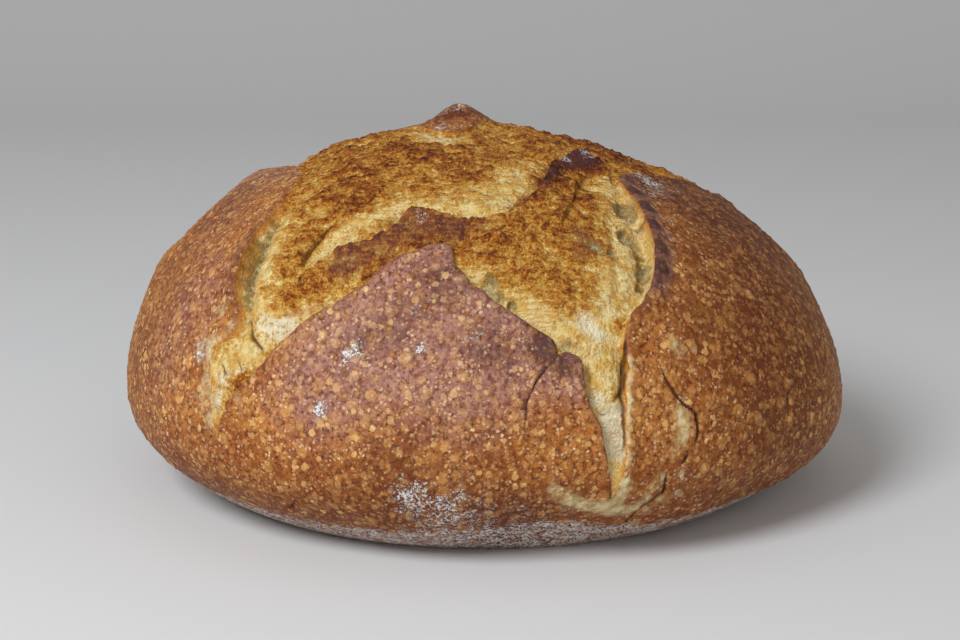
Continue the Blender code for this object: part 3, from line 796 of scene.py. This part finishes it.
class Level:
    """A number that varies over the surface: arithmetic on it adds Math nodes."""

    def __init__(self, finish, socket):
        self.finish = finish
        self.socket = socket

    def math(self, operation, *others):
        sockets = dict(enumerate((self, *others)))
        return self.finish.node("ShaderNodeMath", {"operation": operation}, sockets)

    def __add__(self, other):
        return self.math("ADD", other)

    __radd__ = __add__

    def __mul__(self, other):
        return self.math("MULTIPLY", other)

    __rmul__ = __mul__

    def __sub__(self, other):
        return self.math("SUBTRACT", other)

    def __rsub__(self, other):
        return self * -1 + other

    def most(self, other):
        return self.math("MAXIMUM", other)

    def between(self, low, high):
        """0 below low and 1 above high, with a smooth step."""
        return self.finish.node("ShaderNodeMapRange", {"interpolation_type": "SMOOTHSTEP"},
                                {"Value": self, "From Min": low, "From Max": high})


# Baked crust and dough shine little
DULL_SHINE = 0.2


class Finish:
    """A material and its node tree, with one method that adds any node."""

    def __init__(self, name):
        self.material = bpy.data.materials.new(name)
        self.material.use_nodes = True
        self.nodes = self.material.node_tree.nodes
        self.links = self.material.node_tree.links
        self.shader = self.nodes["Principled BSDF"]
        self.colour = None
        spot = self.node("ShaderNodeTexCoord", output="Object")
        self.place = self.vector("SCALE", {0: spot, "Scale": 1 / MILLIMETRE})
        waver = self.node("ShaderNodeTexNoise", None,
                          {"Vector": self.place, "Scale": 1.0, "Detail": 3.0}, output="Color")
        self.wavy = self.vector("MULTIPLY_ADD", {0: waver, 1: (1.5, 1.5, 1.5), 2: self.place})
        self.combed_across = self.vector("MULTIPLY", {0: self.place, 1: (0.2, 0.8, 1.2)})
        self.combed_down = self.vector("MULTIPLY", {0: self.place, 1: (1.0, 0.7, 0.28)})

    def node(self, kind, settings=None, sockets=None, output=0):
        made = self.nodes.new(kind)
        for setting, value in (settings or {}).items():
            setattr(made, setting, value)
        for socket, value in (sockets or {}).items():
            self.feed(made.inputs[socket], value)
        return Level(self, made.outputs[output])

    def feed(self, socket, value):
        if isinstance(value, Level):
            self.links.new(value.socket, socket)
        else:
            socket.default_value = value

    def vector(self, operation, sockets):
        return self.node("ShaderNodeVectorMath", {"operation": operation}, sockets)

    def painted(self, name):
        """A value painted on the mesh's points."""
        return self.node("ShaderNodeAttribute", {"attribute_name": name}, output="Fac")

    def mottle(self, size, detail=3.0, roughness=0.55, place=None):
        """Noise from 0 to 1 with features of the given size in millimetres."""
        return self.node("ShaderNodeTexNoise", {"noise_dimensions": "3D"},
                         {"Vector": place or self.place, "Scale": 1 / size, "Detail": detail,
                          "Roughness": roughness})

    def spots(self, size, small, large, softness):
        """Uneven spots, one in each cell of the given size; small and large are radii."""
        cells = self.node("ShaderNodeTexVoronoi", {"feature": "F1"},
                          {"Vector": self.wavy, "Scale": 1 / size}, output="Distance")
        tints = cells.socket.node.outputs["Color"]
        luck = self.node("ShaderNodeSeparateColor", None, {"Color": Level(self, tints)}, output="Red")
        bright = Level(self, luck.socket.node.outputs["Green"])
        radius = (luck * (large - small) + small) * (1 / size)
        return (radius - cells).between(0.0, softness / size) * (bright * 0.7 + 0.3)

    def blend(self, share, first, second):
        """A colour between two others."""
        return self.node("ShaderNodeMix", {"data_type": "RGBA"},
                         {0: share, 6: first, 7: second}, output=2)

    def lay(self, share, colour):
        """Lay a share of a colour over the colour so far."""
        self.colour = self.blend(share, self.colour, colour)

    def shade(self, name, value):
        self.feed(self.shader.inputs[name], value)

    def finish(self, roughness, height, depth):
        """Feed the shader what varies over the surface; a baked surface has little shine."""
        self.shade("Specular IOR Level", DULL_SHINE)
        self.shade("Base Color", self.colour)
        self.shade("Roughness", roughness)
        self.shade("Normal", self.node("ShaderNodeBump", None, {
            "Height": height, "Distance": depth * MILLIMETRE, "Strength": 1.0}))
        return self.material


def tint(red, green, blue):
    """A colour as seen on a screen, from 0 to 255, turned into light values."""
    return tuple((level / 255) ** 2.2 for level in (red, green, blue)) + (1.0,)


def flour_dust(finish, amount):
    """How much flour shows, from the painted amount and a powdery grain."""
    grain = finish.mottle(1.0, 4.0, 0.85).between(0.4, 0.6)
    patch = finish.mottle(4.0, 3.0).between(0.3, 0.7)
    return (amount + grain * 1.0 + patch * 0.55 - 1.65).between(0.0, 0.4) * 0.85


# Layers of blisters: cell size, smallest and largest radius, softness, colour, strength
LARGEST_CELL = 5.4
BLISTER_LAYERS = [
    (LARGEST_CELL, 0.2, 2.7, 0.7, tint(208, 150, 82), 0.75),
    (2.7, 0.1, 1.5, 0.3, tint(226, 178, 108), 0.9),
    (1.3, 0.05, 0.7, 0.2, tint(236, 198, 150), 0.85),
]


def crust_finish():
    """Blistered crust: plum brown and amber, thick with pale gold blisters; shade and a cool sheen are
    painted in.
    """
    finish = Finish("blistered_crust")
    patchy = finish.mottle(5.0, 3.0, 0.6) * 0.8 - 0.4
    freckled = finish.mottle(1.8, 3.0) * 0.8 - 0.4
    plum_and_shade = finish.painted("plum_and_shade") + patchy
    ember_and_shade = (finish.painted("ember_and_shade") + patchy).between(0.0, 1.0)
    low = (finish.painted("low") + patchy).between(0.1, 1.0)
    tan = (finish.painted("tan") + patchy + freckled).between(0.1, 1.0)
    fleck = finish.mottle(1.4, 4.0, 0.7)
    cloud = finish.mottle(3.4, 4.0, 0.65)
    dark_cloud = finish.mottle(2.4, 4.0, 0.7)

    amber = finish.mottle(16.0, 4.0).between(0.36, 0.66)
    finish.colour = finish.blend(amber, tint(154, 88, 38), tint(184, 118, 56))
    # Plum tone, which on the front also paints the cool sheen of the light
    finish.lay(plum_and_shade.between(0.1, 0.9) * 0.9, tint(160, 114, 102))
    # Deep plum: on the right plate's rim, painted shade on the lip's dark side
    finish.lay(plum_and_shade.between(1.0, 1.6) * 0.9, tint(88, 58, 58))
    finish.lay(low * 0.75, tint(128, 62, 24))
    # Dark bake, with painted shade on the right side and a painted shadow at the front foot
    finish.lay(ember_and_shade * 0.9, tint(76, 32, 10))
    finish.lay(cloud.between(0.48, 0.66) * 0.5, tint(198, 142, 84))
    finish.lay(dark_cloud.between(0.56, 0.4) * 0.6, tint(112, 56, 28))
    finish.lay(fleck.between(0.32, 0.54) * -0.88 + 0.88, tint(78, 34, 18))

    crowd = finish.mottle(7.0, 4.0, 0.7).between(0.3, 0.65) * 0.75 + 0.25
    bumps = finish.painted("blister")
    finish.lay(bumps * 0.4, tint(188, 124, 58))
    for size, small, large, softness, gold, strength in BLISTER_LAYERS:
        spots = finish.spots(size, small, large, softness) * crowd
        gold = finish.blend(ember_and_shade * 0.7, gold, tint(162, 90, 20))
        gold = finish.blend(plum_and_shade.between(0.3, 1.2) * 0.35, gold, tint(196, 160, 140))
        finish.lay(spots * strength, gold)
        bumps = bumps.most(spots * (size / LARGEST_CELL))
    # Painted shade along the right plate's rim, laid over the blisters
    finish.lay(plum_and_shade.between(1.1, 1.8) * 0.65, tint(70, 42, 36))
    tan_tone = finish.blend(cloud.between(0.4, 0.6), tint(180, 148, 94), tint(222, 206, 158))
    finish.lay(tan * 0.82, tan_tone)
    finish.lay(finish.painted("rim") * (fleck * 0.6 + 0.4), tint(82, 52, 48))
    # Painted shade inside the cracks
    finish.lay(finish.painted("crack_shade").between(0.2, 0.8) * 0.9, tint(66, 32, 16))
    flour = flour_dust(finish, finish.painted("flour"))
    finish.lay(flour, tint(226, 222, 220))

    roughness = fleck * 0.2 + flour * 0.3 - bumps * 0.1 + 0.44
    height = bumps * 0.6 + fleck * 0.3 + finish.mottle(0.6, 2.0) * 0.12 + flour * 0.2
    return finish.finish(roughness, height, 0.8)


# How torn dough darkens as it bakes: the colours from pale to dark, and where each takes over
CRUMB_TONES = [
    (-0.1, 0.15, tint(226, 176, 90)),
    (0.15, 0.4, tint(208, 146, 58)),
    (0.4, 0.66, tint(176, 102, 36)),
    (0.66, 0.95, tint(122, 60, 26)),
    (0.95, 1.3, tint(70, 36, 26)),
]


def crumb_finish():
    """Torn dough: pale where it stayed sheltered, gold to dark brown where it stood proud."""
    finish = Finish("torn_dough")
    cloud = finish.mottle(8.0, 3.0, 0.6)
    patchy = cloud * 0.6 - 0.3
    grain = finish.mottle(1.7, 4.0, 0.7).between(0.3, 0.7)
    crisp = finish.mottle(0.75, 3.0, 0.75).between(0.3, 0.7)
    across = finish.mottle(1.4, 3.0, 0.7, finish.combed_across).between(0.3, 0.7)
    down = finish.mottle(1.4, 3.0, 0.7, finish.combed_down).between(0.3, 0.7)
    arm = finish.painted("arm")
    fibre = down * arm + across * (1 - arm)
    crumbs = finish.spots(1.9, 0.1, 0.9, 0.3)
    bubble = finish.painted("bubble")

    toast = finish.painted("bake") + cloud * 0.3 + grain * 0.45 + crisp * 0.45 + fibre * 0.35 - 0.81
    straw_cloud = finish.mottle(4.0, 3.0).between(0.4, 0.62)
    cream = (finish.painted("cream") + patchy).between(0.2, 0.8)
    finish.colour = finish.blend(straw_cloud, tint(255, 230, 160), tint(244, 200, 108))
    finish.lay(cream * 0.85, tint(255, 244, 208))
    for start, end, tone in CRUMB_TONES:
        finish.lay(toast.between(start, end), tone)
    pale_fibre = finish.painted("pale") * fibre.between(0.5, 0.9)
    finish.lay(pale_fibre * (cream * -0.35 + 0.6), tint(214, 146, 66))
    finish.lay(finish.painted("thread") * (crisp * 0.4 + 0.2), tint(206, 134, 58))
    finish.lay(crumbs * 0.3, tint(232, 184, 112))
    # Dusky plum dough: this shared paint holds no shade in the torn dough
    dusk = (finish.painted("plum_and_shade") + patchy).between(0.1, 0.9)
    finish.lay(dusk * (grain * 0.4 + 0.4), tint(118, 70, 64))
    russet = (finish.painted("russet") + patchy).between(0.3, 0.8)
    finish.lay(russet * 0.6, tint(188, 92, 40))
    finish.lay(finish.painted("rim") * (crisp * 0.3 + 0.6), tint(232, 144, 54))
    hole_cloud = finish.mottle(2.2, 2.0).between(0.4, 0.6)
    hole = finish.blend(hole_cloud, tint(182, 152, 96), tint(230, 212, 160))
    finish.lay(bubble.between(0.1, 0.5) * 0.6, tint(176, 132, 56))
    finish.lay(bubble.between(0.5, 0.9) * 0.9, hole)
    # Painted shade under the upper edge of each open bubble
    finish.lay(finish.painted("brow_shade") * 0.5, tint(138, 102, 48))
    # Painted shade inside the cracks and clefts
    finish.lay(finish.painted("crack_shade").between(0.25, 0.9) * 0.85, tint(108, 62, 24))
    finish.lay(flour_dust(finish, finish.painted("flour")), tint(226, 223, 220))

    roughness = grain * 0.2 + 0.44 - bubble * 0.15
    height = grain * 0.5 + crisp * 0.3 + fibre * 0.35 + crumbs * 0.4
    return finish.finish(roughness, height, 1.2)


def base_finish():
    """The flat base: dull brown, dusted with flour."""
    finish = Finish("floured_base")
    cloud = finish.mottle(14.0, 4.0)
    fleck = finish.mottle(2.0, 4.0, 0.65)
    finish.colour = finish.blend(cloud.between(0.35, 0.65), tint(150, 98, 56), tint(182, 132, 82))
    finish.lay(fleck.between(0.4, 0.6), tint(128, 78, 42))
    flour = (cloud + finish.mottle(2.6, 5.0, 0.72) - 1.0).between(-0.02, 0.3)
    finish.lay(flour, tint(226, 222, 216))
    return finish.finish(fleck * 0.2 + 0.6, fleck, 0.5)


def make_base(foot):
    """The flat underside, as rings from the foot line in to one point in the middle."""
    centre = foot.mean(axis=0)
    places = [centre + (foot - centre) * (1 - ring / BASE_RINGS) for ring in range(BASE_RINGS)]
    places = np.concatenate(places + [centre[None]])
    count = len(foot)
    step = np.arange(count)
    after = (step + 1) % count
    band = np.stack([step, after, count + after, count + step], axis=1)
    faces = [band + ring * count for ring in range(BASE_RINGS - 1)]
    inmost = (BASE_RINGS - 1) * count
    corner = step[::2]
    middle = np.full(len(corner), BASE_RINGS * count)
    fan = [inmost + corner, inmost + corner + 1, inmost + (corner + 2) % count, middle]
    faces = np.concatenate(faces + [np.stack(fan, axis=1)])
    normals = np.tile([0.0, 0.0, -1.0], (len(places), 1))
    return make_piece("floured_base", places, normals, {}, faces, base_finish())


def foot_loop():
    """The grid's outer points in order, seen from below."""
    side = CELLS_ACROSS + 1
    last = CELLS_ACROSS
    loop = list(range(last))
    loop += [row * side + last for row in range(last)]
    loop += [last * side + column for column in range(last, 0, -1)]
    loop += [row * side for row in range(last, 0, -1)]
    return np.array(loop)


def build_loaf():
    """The whole dressed loaf; returns how far its middle lies from the plain form's."""
    u, v, foot = crust_grid()
    near_u, near_v = FLAP.gather(u, v, FLAP_REACH, FLAP_GATHER)
    near_u, near_v = TEAR.gather(near_u, near_v, EDGE_REACH, EDGE_GATHER)
    u, v = np.where(foot, u, near_u), np.where(foot, v, near_v)
    surface = Surface(u, v)
    places, paints = surface.places(), surface.paints()
    places[foot, 2] = 0.0

    low, high = (np.array(corner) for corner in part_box("loaf"))
    middle = (places.min(axis=0) + places.max(axis=0)) / 2 - (low + high) / 2 / MILLIMETRE
    shift = np.array([middle[0], middle[1], 0.0])
    places = places - shift

    faces = crust_faces()
    normals = vertex_normals(places, faces)
    torn = surface.torn[faces].sum(axis=1) >= 2
    turn = np.degrees(np.arctan2(v[faces].mean(axis=1), u[faces].mean(axis=1)))
    crust = crust_finish()
    for name, start, end in PLATES:
        inside = (turn - start) % 360 < end - start
        make_piece(name, places, normals, paints, faces[inside & ~torn], crust)
    make_piece("torn_crown", places, normals, paints, faces[torn], crumb_finish())
    make_base(places[foot_loop()])
    return shift


def make_camera(shift):
    """The photograph's view: from the front, a little above."""
    tilt = np.radians(CAMERA_HEIGHT_ANGLE)
    aim = (np.array(CAMERA_AIM) - shift) * MILLIMETRE
    ahead = np.array([0.0, np.cos(tilt), -np.sin(tilt)])
    lens = bpy.data.cameras.new("camera")
    lens.lens = CAMERA_LENS
    lens.sensor_width = 36.0
    lens.clip_start = 0.01
    camera = put_in_scene("camera", lens)
    camera.location = aim - ahead * CAMERA_DISTANCE * MILLIMETRE
    camera.rotation_euler = Vector(ahead).to_track_quat("-Z", "Y").to_euler()
    bpy.context.scene.camera = camera


def make_lamp(name, place, aim, size, power, colour):
    lamp = bpy.data.lights.new(name, "AREA")
    lamp.shape = "DISK"
    lamp.size = size
    lamp.energy = power
    lamp.color = colour
    holder = put_in_scene(name, lamp)
    holder.location = place
    holder.rotation_euler = (Vector(aim) - Vector(place)).to_track_quat("-Z", "Y").to_euler()


def make_floor():
    """A plain pale floor that curves up behind."""
    bend_start = FLOOR_BACK - FLOOR_BEND
    profile = [(FLOOR_FRONT, 0.0), (bend_start, 0.0)]
    profile += [(bend_start + FLOOR_BEND * np.sin(turn), FLOOR_BEND * (1 - np.cos(turn)))
                for turn in np.linspace(0.1, np.pi / 2, 12)]
    profile.append((FLOOR_BACK, FLOOR_RISE))
    corners = [(x, y, z) for y, z in profile for x in (-FLOOR_HALF_WIDTH, FLOOR_HALF_WIDTH)]
    faces = [(2 * i, 2 * i + 1, 2 * i + 3, 2 * i + 2) for i in range(len(profile) - 1)]
    mesh = bpy.data.meshes.new("studio_floor")
    mesh.from_pydata(corners, [], faces)
    mesh.shade_smooth()
    finish = Finish("pale_floor")
    finish.shade("Base Color", tint(208, 208, 208))
    finish.shade("Roughness", 0.85)
    mesh.materials.append(finish.material)
    put_in_scene("studio_floor", mesh)


def make_studio():
    """The floor, soft light from the upper left, a weak fill from the front and a pale room."""
    make_floor()
    make_lamp("window_light", place=(-0.62, -0.9, 0.95), aim=(0, 0, 0.06), size=0.6, power=17.0,
              colour=(0.93, 0.96, 1.0))
    make_lamp("front_fill", place=(0.3, -1.3, 0.5), aim=(0, 0, 0.05), size=1.0, power=2.0,
              colour=(1.0, 0.98, 0.95))
    world = bpy.data.worlds.new("soft_room")
    world.use_nodes = True
    sky = world.node_tree.nodes["Background"]
    sky.inputs["Color"].default_value = (1.0, 0.98, 0.96, 1.0)
    sky.inputs["Strength"].default_value = 0.4
    bpy.context.scene.world = world
    bpy.context.scene.view_settings.view_transform = "Standard"


shift = build_loaf()
make_camera(shift)
make_studio()
